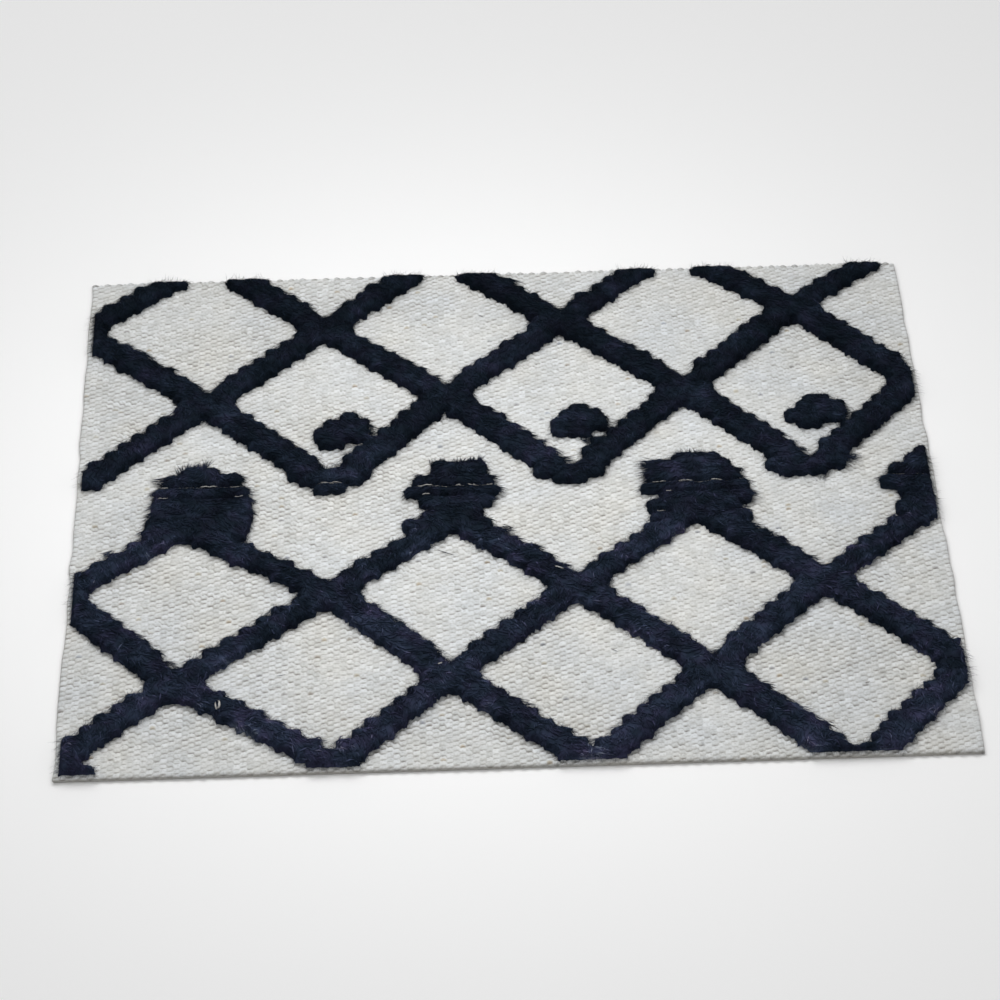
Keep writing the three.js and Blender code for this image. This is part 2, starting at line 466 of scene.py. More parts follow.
class Nap:
    """The map of the pile: depth, height and brushing at each place on the cloth."""

    def __init__(self):
        across = np.arange(-WIDTH / 2, WIDTH / 2 + MAP_STEP / 2, MAP_STEP)
        along = np.arange(-DEPTH / 2, DEPTH / 2 + MAP_STEP / 2, MAP_STEP)
        self.x, self.y = np.meshgrid(across, along, indexing="ij")
        self.depth = np.full(self.x.shape, OUTSIDE)
        self.brush = np.zeros(self.x.shape + (2,))

    def part(self, x0, x1, y0, y1, margin=8):
        """The part of the map round a box."""
        cuts = []
        for start, end, size, count in zip((x0, y0), (x1, y1), (WIDTH, DEPTH), self.x.shape):
            edges = (np.array([start - margin, end + margin]) + size / 2) / MAP_STEP
            cuts.append(slice(*np.clip(edges, 0, count).astype(int)))
        return tuple(cuts)

    def add(self, at, depth, brush_x, brush_y):
        self.depth[at] = np.maximum(self.depth[at], depth)
        weight = np.clip(depth + BLEND_START, 0, BLEND_END) ** 2
        self.brush[at][..., 0] += weight * brush_x
        self.brush[at][..., 1] += weight * brush_y

    def add_strip(self, far, near, left, right, kind, past_near):
        """A straight band from a crossing to one nearer the front."""
        at = self.part(min(far[0], near[0]) - left, max(far[0], near[0]) + right,
                       near[1] - past_near, far[1] + PAST_FAR)
        x, y = self.x[at], self.y[at]
        slope = (near[0] - far[0]) / (far[1] - near[1])
        middle = far[0] + (far[1] - y) * slope
        square = 1 / math.hypot(1, slope)
        depth = np.minimum((x - middle + left) * square, (middle + right - x) * square)
        ends = np.minimum(y - near[1] + past_near, far[1] + PAST_FAR - y)
        self.add(at, np.minimum(depth, ends), *BRUSHED[kind])

    def add_bar(self, start, end, y0, half, corner, kind, spread=None):
        """A bar with round corners, brushed to both sides from spread if that is given."""
        at = self.part(start, end, y0 - half, y0 + half)
        x, y = self.x[at], self.y[at]
        corner = min(corner, (end - start) / 2, half)
        dx = np.abs(x - (start + end) / 2) - ((end - start) / 2 - corner)
        dy = np.abs(y - y0) - (half - corner)
        depth = corner - np.hypot(np.maximum(dx, 0), np.maximum(dy, 0))
        depth -= np.minimum(np.maximum(dx, dy), 0)
        if spread is None:
            self.add(at, depth, *BRUSHED[kind])
        else:
            outward = np.clip((x - spread) / SPREAD_REACH, -1, 1)
            self.add(at, depth, outward, BLOCK_FALL)

    def notch(self, x0, y0):
        """Keeps the pile out of the angle above a joint."""
        at = self.part(x0 - NOTCH_HALF, x0 + NOTCH_HALF, y0 + NOTCH_START, y0 + NOTCH_END, 0)
        x, y = self.x[at], self.y[at]
        away = (np.abs(x - x0) - NOTCH_SPREAD * (y - y0 - NOTCH_BACK)) * NOTCH_SLOPE
        self.depth[at] = np.minimum(self.depth[at], away)

    def finish(self):
        """Adds the uneven edges and works out the height of the body."""
        x, y = self.x, self.y
        uneven = noises(x, y, RIM_NOISE)
        bare = np.minimum(WIDTH / 2 - np.abs(x), DEPTH / 2 - np.abs(y)) - BARE_EDGE
        self.depth = np.minimum(self.depth + uneven - FUZZ_ROOM, bare)
        inward = np.clip(self.depth / EDGE_ROUND, 0, 1)
        profile = np.sqrt(1 - (1 - inward) ** 2)
        crown = 1 - CROWN + CROWN * np.clip(self.depth / CROWN_REACH, 0, 1)
        rise = PILE_RISE + noises(x, y, RISE_NOISE)
        self.height = EDGE_HEIGHT + (rise * crown - EDGE_HEIGHT) * profile
        self.height = np.where(self.depth > 0, self.height, 0)
        self.brush = unit(self.brush)
        rise_x, rise_y = np.gradient(self.depth, MAP_STEP)
        size = np.hypot(rise_x, rise_y) + INWARD_SOFT
        self.inward = np.stack([rise_x / size, rise_y / size], -1)

    def look(self, table, x, y):
        """Values of a table of the map at any places."""
        u = np.clip((x + WIDTH / 2) / MAP_STEP, 0, table.shape[0] - 1.001)
        v = np.clip((y + DEPTH / 2) / MAP_STEP, 0, table.shape[1] - 1.001)
        i, j = u.astype(int), v.astype(int)
        fu, fv = u - i, v - j
        return blend_corners(lambda a, b: table[a, b], i, j, fu, fv)


def leaned(points):
    """Moves points sideways as the pile leans, more the higher they stand."""
    share = np.clip((points[..., 2] - GROUND_TOP) / LEAN_HEIGHT, 0, 1)
    out = points.copy()
    out[..., 0] += PILE_LEAN[0] * share
    out[..., 1] += PILE_LEAN[1] * share
    return out


def x_on_band(far, near, y):
    return far[0] + (near[0] - far[0]) * (far[1] - y) / (far[1] - near[1])


def add_lumps(nap, far, near, left, right, kind, start, uneven):
    """Bars across a band, one for each row, that end in its rounded edges."""
    rng = np.random.default_rng(int(abs(far[0] * 7 + near[0])))
    for y in np.arange(near[1] + start, far[1], LUMP_PITCH):
        x = x_on_band(far, near, y)
        nap.add_bar(x - left + rng.uniform(-uneven[0], uneven[0]),
                    x + right + rng.uniform(-uneven[1], uneven[1]),
                    y + rng.uniform(-LUMP_SHIFT, LUMP_SHIFT), LUMP_PITCH / 2 - LUMP_GAP,
                    LUMP_CORNER, kind)


def add_shape(nap, shape, rng):
    kind, x, far_edge, pitch, left, right, slits = shape
    for step, (to_left, to_right) in enumerate(zip(left, right)):
        over_far = SLIT_OVERLAP if step in slits else ROW_OVERLAP
        over_near = SLIT_OVERLAP if step + 1 in slits else ROW_OVERLAP
        if step == 0:
            over_far = 0
        if step == len(left) - 1:
            over_near = 0
        middle = far_edge - (step + 0.5) * pitch + (over_far - over_near) / 2
        half = (pitch + over_far + over_near) / 2
        tower = kind == "block" and step < TOWER_ROWS
        spread = x + rng.uniform(*SPREAD_SHIFT) if tower else None
        rounded = kind == "vee" or (step == 0 and x in ROUND_TOPS)
        corner = ROUND_CORNER if rounded else STEP_CORNER
        nap.add_bar(x - to_left * WARP_PITCH, x + to_right * WARP_PITCH, middle, half, corner, kind,
                    spread)


def build_nap():
    nap = Nap()
    rng = np.random.default_rng(NAP_SEED)
    for far, near, breaks in bands():
        kind = "down" if near[0] > far[0] else "up"
        left, right = (warps * WARP_PITCH for warps in BAND_SIDES[kind])
        least, most, out_right = LUMPS[kind]
        out_left = rng.uniform(least, most)
        past_near, start = (PAST_BREAK, LUMP_PITCH) if breaks else (PAST_NEAR, 0)
        strip = left - max(out_left, 0), right - max(out_right, 0)
        nap.add_strip(far, near, *strip, kind, past_near)
        uneven = abs(out_left) / LUMP_SHARE + LUMP_UNEVEN[0], LUMP_UNEVEN[1]
        add_lumps(nap, far, near, left, right, kind, start, uneven)
    for row in TRELLIS_ROWS:
        fill = row[-1]
        for x, y in crossings(row):
            if fill > 0:
                half = (JOINT_BACK + fill) / 2
                nap.add_bar(x - JOINT_REACH[0], x + JOINT_REACH[1], y + JOINT_BACK - half, half,
                            JOINT_CORNER, "joint")
            if fill >= 0:
                nap.notch(x, y)
    for shape in SHAPES:
        add_shape(nap, shape, rng)
    nap.finish()
    return nap


# The shade of the wool: its middle, how much darker it is at the back, and its patches
TONE_MIDDLE = 0.47
TONE_FALL = 0.12
TONE_NOISE = [(0.08, 34, 41), (0.09, 11, 42), (0.10, 5, 47), (0.06, 3, 49)]
TONE_WIDTH = 0.012

# The painted highlight on the rims of the front bands: how much lighter, how deep, in which
# patches, and where it begins
RIM_HIGHLIGHT = 0.36
RIM_DEPTH = 4
RIM_PATCHES = [(1.6, 15, 46)]
RIM_FROM = 20
RIM_OVER = 60

# The body under the fibres: how much darker it is painted, as shade between the fibres, its
# patches, where it lies along a fibre's painted root shade, and how much darker its underside and
# the low part of its walls are painted, as shade
BODY_SHADE = 0.04
BODY_NOISE = [(0.05, 3.1, 43)]
BODY_SHADE_REACH = 0.45
SHADE_REACH_NOISE = [(0.08, 4.3, 44)]
UNDER_SHADE = 0.9


def tone_at(x, y):
    """The dye's shade from 0 to 1, in soft patches, lighter towards the front."""
    return TONE_MIDDLE + noises(x, y, TONE_NOISE) - TONE_FALL * np.asarray(y) / (DEPTH / 2)


def rim_highlight(nap, x, y):
    """A painted highlight: how much lighter the pile is at its rims, in patches, in the front half."""
    rim = np.clip(1 - nap.look(nap.depth, x, y) / RIM_DEPTH, 0, 1)
    patches = np.clip(noises(x, y, RIM_PATCHES), 0, 1)
    return RIM_HIGHLIGHT * rim * patches * np.clip((RIM_FROM - y) / RIM_OVER, 0, 1)


def add_body(parts, nap, low, high):
    """The body between two rows of the map, as one closed mesh over and under its cells."""
    step = BODY_STEP
    places = slice(None, None, step), slice(low, high + 1, step)
    x, y, depth, height = (table[places] for table in (nap.x, nap.y, nap.depth, nap.height))
    inside = depth > 0
    cell = inside[:-1, :-1] | inside[1:, :-1] | inside[:-1, 1:] | inside[1:, 1:]
    i, j = np.nonzero(cell)
    corners = np.stack([(i, j), (i + 1, j), (i + 1, j + 1), (i, j + 1)])
    number = corners[:, 0] * x.shape[1] + corners[:, 1]
    used, index = np.unique(number.ravel(), return_inverse=True)
    quads = index.reshape(4, -1).T
    px, py, out = x.ravel()[used], y.ravel()[used], depth.ravel()[used]
    inward = nap.inward[places].reshape(-1, 2)[used]
    move = np.clip(-out, 0, step * RIM_PULL)
    px, py = px + inward[:, 0] * move, py + inward[:, 1] * move
    over = np.where(out > 0, height.ravel()[used], EDGE_HEIGHT)
    top = leaned(np.stack([px, py, GROUND_TOP + over], -1))
    under = np.stack([px, py, np.full(len(px), GROUND_TOP + BURIED)], -1)
    count = len(used)
    edges = [edge for quad in quads.tolist() for edge in zip(quad, quad[1:] + quad[:1])]
    every = set(edges)
    walls = [(b, a, a + count, b + count) for a, b in edges if (b, a) not in every]
    # Painted shade where the body shows between the fibres, and a painted highlight at its rims
    tone = tone_at(px, py) + rim_highlight(nap, px, py) - BODY_SHADE + noises(px, py, BODY_NOISE)
    reach = BODY_SHADE_REACH + noises(px, py, SHADE_REACH_NOISE)
    uv = np.stack([tone, reach], -1)
    points = np.concatenate([top, under])[None]
    faces = np.concatenate([quads, quads[:, ::-1] + count, np.array(walls)])
    # Painted shade: the underside and the low part of the walls a little darker
    parts.add(points, np.concatenate([uv, uv * UNDER_SHADE])[None], faces, [])


# Fibres, as three-sided tubes: where their roots lie along their painted shade, darkest at the
# root, their swirl, which is stronger in front of a line, the part of an arch they make, and how
# far they clear the ground
SIDES = 3
ROOT_SHADE_REACH = 0.35
CURL_NOISE = [(0.5, 9, 45)]
CURL_FRONT = 1.6
CURL_LINE = 20
ARCH_START = 0.15
ARCH_SHARE = 0.7
CLEAR = 0.7
TRIES = 4


def tubes(parts, paths, radius, profile, tone, rng):
    """Closed tubes along the paths. Each tapers to a point at its tip."""
    count, points = paths.shape[:2]
    rings = points - 1
    along = unit(np.gradient(paths, axis=1)[:, :rings])
    chord = paths[:, -1] - paths[:, 0]
    side = unit(np.stack([chord[:, 1], -chord[:, 0], np.zeros(count)], -1))
    side = np.repeat(side[:, None], rings, 1)
    up = unit(np.cross(along, side))
    side = np.cross(up, along)
    start = rng.uniform(0, 2 * math.pi, count)
    shapes, uvs = [], []
    # A fibre's painted shade runs from its root, darkest, to its tip
    reach = np.linspace(ROOT_SHADE_REACH, 1, points)
    for i in range(rings):
        for corner in range(SIDES):
            angle = start + corner * 2 * math.pi / SIDES
            r = (radius * profile[i])[:, None]
            out = np.cos(angle)[:, None] * side[:, i] + np.sin(angle)[:, None] * up[:, i]
            shapes.append(paths[:, i] + out * r)
            uvs.append(np.stack([tone + TONE_WIDTH * (corner - 1), np.full(count, reach[i])], -1))
    shapes.append(paths[:, -1])
    uvs.append(np.stack([tone, np.ones(count)], -1))
    around = [(c, (c + 1) % SIDES) for c in range(SIDES)]
    quads = [
        (i * SIDES + a, i * SIDES + b, (i + 1) * SIDES + b, (i + 1) * SIDES + a)
        for i in range(rings - 1) for a, b in around
    ]
    tip, last = rings * SIDES, (rings - 1) * SIDES
    triangles = [(last + a, last + b, tip) for a, b in around] + [(2, 1, 0)]
    uv = np.clip(np.stack(uvs, 1), 0.001, 0.999)
    parts.add(np.stack(shapes, 1), uv, quads, triangles)


def lay_fibres(nap, x, y, turn, length, points, lift, fall, overhang, splay=0.0):
    """Paths of fibres from their roots, along the pile's brushing and splayed to the rims.

    Past a rim they reach out as far as their overhang, and fall.
    """
    step = length / (points - 1)
    paths = []
    z = GROUND_TOP + nap.look(nap.height, x, y)
    for k in range(points):
        arch = math.sin(math.pi * (ARCH_START + ARCH_SHARE * k / (points - 1)))
        paths.append(np.stack([x, y, z + lift * arch], -1))
        bx, by = nap.look(nap.brush[..., 0], x, y), nap.look(nap.brush[..., 1], x, y)
        ix, iy = (nap.look(nap.inward[..., axis], x, y) for axis in (0, 1))
        swirl = noises(x, y, CURL_NOISE) * np.where(y < CURL_LINE, CURL_FRONT, 1.0)
        angle = np.arctan2(by - splay * iy, bx - splay * ix) + turn + swirl
        dx, dy = np.cos(angle), np.sin(angle)
        ahead = nap.look(nap.depth, x + dx * step, y + dy * step)
        outward = np.where(ahead < -overhang, np.minimum(dx * ix + dy * iy, 0), 0)
        x, y = x + (dx - outward * ix) * step, y + (dy - outward * iy) * step
        on_pile = GROUND_TOP + nap.look(nap.height, x, y)
        z = np.maximum(np.maximum(on_pile, z - step * fall * (1 - dy)), GROUND_TOP + CLEAR)
    return leaned(np.stack(paths, 1))


def spread_roots(nap, count, rng, low, high, least, most):
    """Random places between two lines across the rug that lie that deep inside the pile."""
    found_x, found_y, missing = [], [], count
    while missing > 0:
        x = rng.uniform(-WIDTH / 2, WIDTH / 2, missing * TRIES)
        y = rng.uniform(low, high, missing * TRIES)
        depth = nap.look(nap.depth, x, y)
        good = (depth > least) & (depth < most)
        found_x.append(x[good][:missing])
        found_y.append(y[good][:missing])
        missing -= len(found_x[-1])
    return np.concatenate(found_x), np.concatenate(found_y)


# The fibres of a tuft: the spread of their headings and lengths, their least height, how far their
# tips draw together, their droop over the front and over the back, and how high they lie
TUFT_SPREAD = 0.22
TUFT_LENGTHS = (0.4, 1.1)
TUFT_BASE = 0.3
TUFT_GATHER = 0.35
TUFT_DROOP = (3.2, -0.6)
DROOP_CURVE = 1.5
TUFT_RISE = 0.2


def tuft(x, y, heading, length, count, width, rng, nap):
    """Paths of the fibres of one tuft, from roots that spread in a small disc."""
    angle, away = rng.uniform(0, 2 * math.pi, count), np.sqrt(rng.uniform(0, 1, count)) * width
    ox, oy = np.cos(angle) * away, np.sin(angle) * away
    aim = math.radians(heading) + rng.normal(0, TUFT_SPREAD, count)
    long = length * rng.uniform(*TUFT_LENGTHS, count)
    paths = []
    base = GROUND_TOP + np.maximum(nap.look(nap.height, x + ox, y + oy), TUFT_BASE)
    droop = TUFT_DROOP[0] if math.sin(math.radians(heading)) < 0.5 else TUFT_DROOP[1]
    for share in (0.0, 0.5, 1.0):
        gather = 1 - TUFT_GATHER * share
        px = x + ox * gather + np.cos(aim) * long * share
        py = y + oy * gather + np.sin(aim) * long * share
        on_pile = GROUND_TOP + nap.look(nap.height, px, py)
        z = np.maximum(on_pile, base - droop * share ** DROOP_CURVE)
        z = np.maximum(z, GROUND_TOP + CLEAR) + TUFT_RISE
        paths.append(np.stack([px, py, z], -1))
    return leaned(np.stack(paths, 1))


# Tufts and frays where the pile is rough
TUFTS = [
    # x, y, heading in degrees, length, fibres, width
    (180, 24, 190, 9, 30, 4), (186, 18, 205, 7, 40, 4), (217, 25, -8, 13, 44, 3),
    (222, 31, 2, 14, 44, 3), (205, 15, 270, 4, 50, 6),
    (-200, -172, -45, 8, 60, 6), (-192, -176, -20, 8, 60, 5), (-186, -178, 10, 5, 40, 4),
    (-212, 32, 104, 11, 26, 2.2), (-208, 33, 84, 9, 20, 2), (-203, 34, 60, 6, 20, 2.4),
    (-197, 34, 70, 11, 34, 1.4), (-199, 35, 95, 5, 40, 3.4), (-214, 27, 150, 8, 34, 2.5),
    (-180, 22, 8, 14, 40, 2.2), (-218, 20, 188, 12, 40, 2.5), (-222, 25, 172, 11, 34, 2.2),
    (-176, 13, 6, 13, 40, 2), (-224, 14, 186, 9, 30, 2),
    (-48, 34, 94, 8, 14, 0.8), (-42, 35, 90, 4, 24, 3), (-31, 35, 92, 4, 30, 4),
    (-17, 34, 72, 6, 30, 2.2), (-22, 35, 85, 4, 30, 3), (-54, 24, 170, 7, 30, 2.2),
    (-10, 20, 4, 8, 34, 2.2),
    (114, 34, 104, 5, 30, 4), (128, 35, 84, 4, 30, 4), (122, 35, 92, 5, 30, 4),
    (150, 20, 10, 8, 36, 2.4),
    (54, 58, -60, 9, 40, 3.5), (60, 54, -80, 8, 36, 3),
    (-90, 68, 10, 7, 24, 2.4), (-88, 76, -30, 6, 18, 2), (226, 76, -20, 7, 24, 2.4),
    (12, -46, -14, 12, 50, 4), (15, -51, -22, 10, 40, 4), (-2, -27, -12, 8, 30, 3),
    (166, 141, -60, 8, 14, 1.4), (174, 146, -25, 6, 20, 2.5), (178, 150, -15, 5, 16, 2.5),
    (22, 30, 215, 6, 24, 3), (30, 25, 225, 6, 24, 3), (38, 20, 250, 4, 24, 3),
    (-233, -24, 196, 7, 30, 3), (-254, -40, 200, 8, 30, 3), (-264, -60, 200, 6, 26, 3),
    (98, 24, 175, 14, 60, 2.8), (96, 18, 188, 12, 50, 2.6), (96, 28, 164, 11, 44, 2.5),
    (152, -2, -8, 12, 44, 2.2), (150, -8, -12, 11, 40, 2), (148, -16, -15, 10, 40, 2),
]

# Loose fibres on the ground: x, y, heading in degrees, length
STRAYS = [
    (-46, -46, -28, 13), (-43, -48, -20, 9), (-147, -155, 15, 6), (-13, 189, -40, 5),
    (-169, 169, 25, 5), (-150, -60, 60, 5), (60, -140, -35, 6), (210, -40, 20, 5),
]


# Tufts down the right side of the bands, and at both ends of the rows of a tower
BAND_TUFTS = {
    # kind: share of the rows, inset, heading and its spread, least and most length, fibres, width
    "down": (0.75, 3.5, (-20, 8), (8, 12), 26, 2.8),
    "up": (0.25, 2, (-56, 12), (3, 5), 12, 1.8),
}
TUFTS_FROM = 12
TUFTS_TO = 8
TUFT_SHIFT = 2
END_TUFTS = 2
END_INSET = 5
END_DOWN = 0.6
END_HEADING = (82, 6)
END_LENGTH = (6, 12)
END_FIBRES = 26
END_WIDTH = 2.2


def tuft_table(rng):
    """Every tuft: its place, heading in degrees, length, fibres and width."""
    rows = list(TUFTS)
    for far, near, _ in bands():
        kind = "down" if near[0] > far[0] else "up"
        chance, inset, heading, length, fibres, width = BAND_TUFTS[kind]
        side = BAND_SIDES[kind][1] * WARP_PITCH - inset
        for y in np.arange(near[1] + TUFTS_FROM, far[1] - TUFTS_TO, ROW_PITCH):
            if rng.uniform() < chance:
                rows.append((x_on_band(far, near, y) + side, y + rng.uniform(-TUFT_SHIFT, TUFT_SHIFT),
                             rng.normal(*heading), rng.uniform(*length), fibres, width))
    for kind, x, far_edge, pitch, left, right, _ in SHAPES:
        if kind != "block":
            continue
        for step in range(1, TOWER_ROWS):
            y = far_edge - (step + END_DOWN) * pitch
            for side, reach in ((-1, left[step]), (1, right[step])):
                heading = -90 + side * (END_HEADING[0] + rng.normal(0, END_HEADING[1]))
                end = x + side * (reach * WARP_PITCH - END_INSET)
                for _ in range(END_TUFTS):
                    rows.append((end, y + rng.uniform(-TUFT_SHIFT, TUFT_SHIFT), heading,
                                 rng.uniform(*END_LENGTH), END_FIBRES, END_WIDTH))
    return rows


# How far loose fibres bend, as a share of their length
LINE_BEND = 0.12


def line_paths(rows, rise, rng):
    """Paths of loose fibres, each a slight curve at a height over what lies under it."""
    x, y, heading, length = np.array(rows, float).T
    aim = np.radians(heading)
    bend = rng.normal(0, LINE_BEND, len(rows)) * length
    paths = []
    for share in (0.0, 0.33, 0.67, 1.0):
        aside = bend * math.sin(math.pi * share)
        px = x + np.cos(aim) * length * share - np.sin(aim) * aside
        py = y + np.sin(aim) * length * share + np.cos(aim) * aside
        paths.append(np.stack([px, py, GROUND_TOP + rise(px, py)], -1))
    return leaned(np.stack(paths, 1))


PILE_PIECES = ("pile_back", "pile_upper", "pile_middle", "pile_lower", "pile_front")
PILE_CUTS = (150, 60, -14, -115)
PILE_SEED = 100
TUFT_SEED = 51

# Matted fibres all over the pile
NAP_FIBRES = 25500
NAP_ROOTS = (0.3, 99)
NAP_POINTS = 3
NAP_TURN = 0.55
NAP_MATTED = [(0.3, 14, 48)]
NAP_LENGTH = (2.5, 8)
NAP_LIFT = (0.1, 0.8)
NAP_FALL = 0.9
NAP_OVERHANG = 0.7
NAP_TONES = 0.04
NAP_RADIUS = (0.25, 0.52)
NAP_PROFILE = (0.8, 1.0)

# Ones with a painted highlight among them, more so towards the front
HIGHLIGHT_SHARE = 0.04
HIGHLIGHT_FROM = 60
HIGHLIGHT_OVER = 120
HIGHLIGHT_TONES = (0.1, 0.26)

# Fuzz at the rims
FUZZ_FIBRES = 76000
FUZZ_ROOTS = (0.05, 1.7)
FUZZ_POINTS = 2
FUZZ_TURN = 0.75
FUZZ_LENGTH = 2.5
FUZZ_LONGER = 7
FUZZ_LIFT = (0.1, 0.8)
FUZZ_FALL = 1.0
FUZZ_OVERHANG = (1.5, 6)
FUZZ_SPLAY = 1.4
FUZZ_TONES = 0.06
FUZZ_RADIUS = (0.08, 0.17)
FUZZ_PROFILE = (1.0,)

# Tufts, which keep clear of the rug's edges, and loose fibres
TUFT_MARGIN = 11
TUFT_TONES = 0.05
TUFT_RADIUS = (0.09, 0.23)
TUFT_PROFILE = (1.0, 0.9)
LINE_PROFILE = (0.7, 1.0, 0.8)
STRAY_RISE = 0.5
STRAY_RADIUS = 0.2
MIDDLE_TONE = 0.5

# The cream weft: bright where it lies over the near rim of its slit, and dim where it lies sunk
THREAD_SEED = 71
THREAD_POINTS = 8
THREAD_PROFILE = (0.4,) + (1.0,) * (THREAD_POINTS - 2)
BRIGHT_RADIUS = 0.3
BRIGHT_SHIFT = -0.3
BRIGHT_WAVER = (0.15, 0.25)
BRIGHT_SINK = 0.15
DIM_RADIUS = 0.135
DIM_WAVER = (0.25, 0.35)
DIM_SINK = 1.5
DIM_INSET = 2
DIM_MARGIN = 6
RIM_PLACES = (1.6, 2.4)
LOOP_RADIUS = 0.7
LOOP_RISE = 0.7


def add_nap(parts, nap, count, low, high, rng):
    x, y = spread_roots(nap, count, rng, low, high, *NAP_ROOTS)
    turn = rng.normal(0, 1, count) * (NAP_TURN + noises(x, y, NAP_MATTED))
    paths = lay_fibres(nap, x, y, turn, rng.uniform(*NAP_LENGTH, count), NAP_POINTS,
                       rng.uniform(*NAP_LIFT, count), NAP_FALL, NAP_OVERHANG)
    # The rims get a painted highlight
    tone = tone_at(x, y) + rim_highlight(nap, x, y) + rng.normal(0, NAP_TONES, count)
    # Painted highlight: a few fibres drawn lighter, as glints, more of them towards the front
    highlight_chance = HIGHLIGHT_SHARE * np.clip((HIGHLIGHT_FROM - y) / HIGHLIGHT_OVER, 0, 1)
    tone += (rng.uniform(0, 1, count) < highlight_chance) * rng.uniform(*HIGHLIGHT_TONES, count)
    tubes(parts, paths, rng.uniform(*NAP_RADIUS, count), NAP_PROFILE, tone, rng)


def add_fuzz(parts, nap, count, low, high, rng):
    x, y = spread_roots(nap, count, rng, low, high, *FUZZ_ROOTS)
    length = FUZZ_LENGTH + FUZZ_LONGER * rng.uniform(0, 1, count) ** 2
    paths = lay_fibres(nap, x, y, rng.normal(0, FUZZ_TURN, count), length, FUZZ_POINTS,
                       rng.uniform(*FUZZ_LIFT, count), FUZZ_FALL,
                       rng.uniform(*FUZZ_OVERHANG, count), FUZZ_SPLAY)
    tone = tone_at(x, y) + rng.normal(0, FUZZ_TONES, count)
    tubes(parts, paths, rng.uniform(*FUZZ_RADIUS, count), FUZZ_PROFILE, tone, rng)


def even_tubes(parts, paths, radius, profile, rng):
    """Tubes that all have one radius and the middle shade."""
    count = len(paths)
    tubes(parts, paths, np.full(count, radius), profile, np.full(count, MIDDLE_TONE), rng)


def build_pile(nap, material):
    """The pile in pieces from the back of the rug to its front."""
    cuts = [DEPTH / 2, *PILE_CUTS, -DEPTH / 2]
    table = tuft_table(np.random.default_rng(TUFT_SEED))
    area = nap.depth > 0
    pieces = []
    for number, name in enumerate(PILE_PIECES):
        high, low = cuts[number], cuts[number + 1]
        rng = np.random.default_rng(PILE_SEED + number)
        parts = Parts()
        first, last = (
            round((edge + DEPTH / 2) / MAP_STEP / BODY_STEP) * BODY_STEP for edge in (low, high)
        )
        add_body(parts, nap, first, min(last, nap.x.shape[1] - 1))
        share = area[:, first:last].sum() / area.sum()
        add_nap(parts, nap, int(NAP_FIBRES * share), low, high, rng)
        add_fuzz(parts, nap, int(FUZZ_FIBRES * share), low, high, rng)
        for x, y, heading, length, each, width in table:
            inside = abs(x) < WIDTH / 2 - TUFT_MARGIN and abs(y) < DEPTH / 2 - TUFT_MARGIN
            if low <= y < high and inside:
                paths = tuft(x, y, heading, length, each, width, rng, nap)
                tone = tone_at(x, y) + rng.normal(0, TUFT_TONES, each)
                tubes(parts, paths, rng.uniform(*TUFT_RADIUS, each), TUFT_PROFILE, tone, rng)
        if number == len(PILE_PIECES) - 1:
            paths = line_paths(STRAYS, lambda x, y: np.full_like(x, STRAY_RISE), rng)
            even_tubes(parts, paths, STRAY_RADIUS, LINE_PROFILE, rng)
        pieces.append(parts.build(name, material))
    return pieces


def build_threads(nap, material):
    """The cream weft that shows in the slits of the blocks and in the pile."""
    rng = np.random.default_rng(THREAD_SEED)
    parts = Parts()

    def thread(x, y0, waver, shift, sink):
        y = y0 + rng.normal(0, waver[0], THREAD_POINTS)
        rim = np.maximum(*(nap.look(nap.height, x, y - place) for place in RIM_PLACES))
        rim += rng.normal(0, waver[1], THREAD_POINTS) - sink
        return leaned(np.stack([x, y + shift, GROUND_TOP + rim], -1))

    bright, dim = [], []
    for number, step, start, end in SLIT_THREADS:
        _, x0, far_edge, pitch, *_ = SHAPES[number]
        x = x0 + np.linspace(start, end, THREAD_POINTS)
        bright.append(thread(x, far_edge - step * pitch, BRIGHT_WAVER, BRIGHT_SHIFT, BRIGHT_SINK))
    for number, step in SUNK_THREADS:
        _, x0, far_edge, pitch, *sides, _ = SHAPES[number]
        reach = [min(side[step - 1], side[step]) * WARP_PITCH - DIM_INSET for side in sides]
        end = min(x0 + reach[1], WIDTH / 2 - DIM_MARGIN)
        x = np.linspace(x0 - reach[0], end, THREAD_POINTS)
        dim.append(thread(x, far_edge - step * pitch, DIM_WAVER, 0, DIM_SINK))
    loops = line_paths(CREAM_LOOPS, lambda x, y: nap.look(nap.height, x, y) + LOOP_RISE, rng)
    even_tubes(parts, np.stack(bright), BRIGHT_RADIUS, THREAD_PROFILE, rng)
    even_tubes(parts, np.stack(dim), DIM_RADIUS, THREAD_PROFILE, rng)
    even_tubes(parts, loops, LOOP_RADIUS, LINE_PROFILE, rng)
    return parts.build("slit_threads", material)


WHITE = (1.0, 1.0, 1.0)


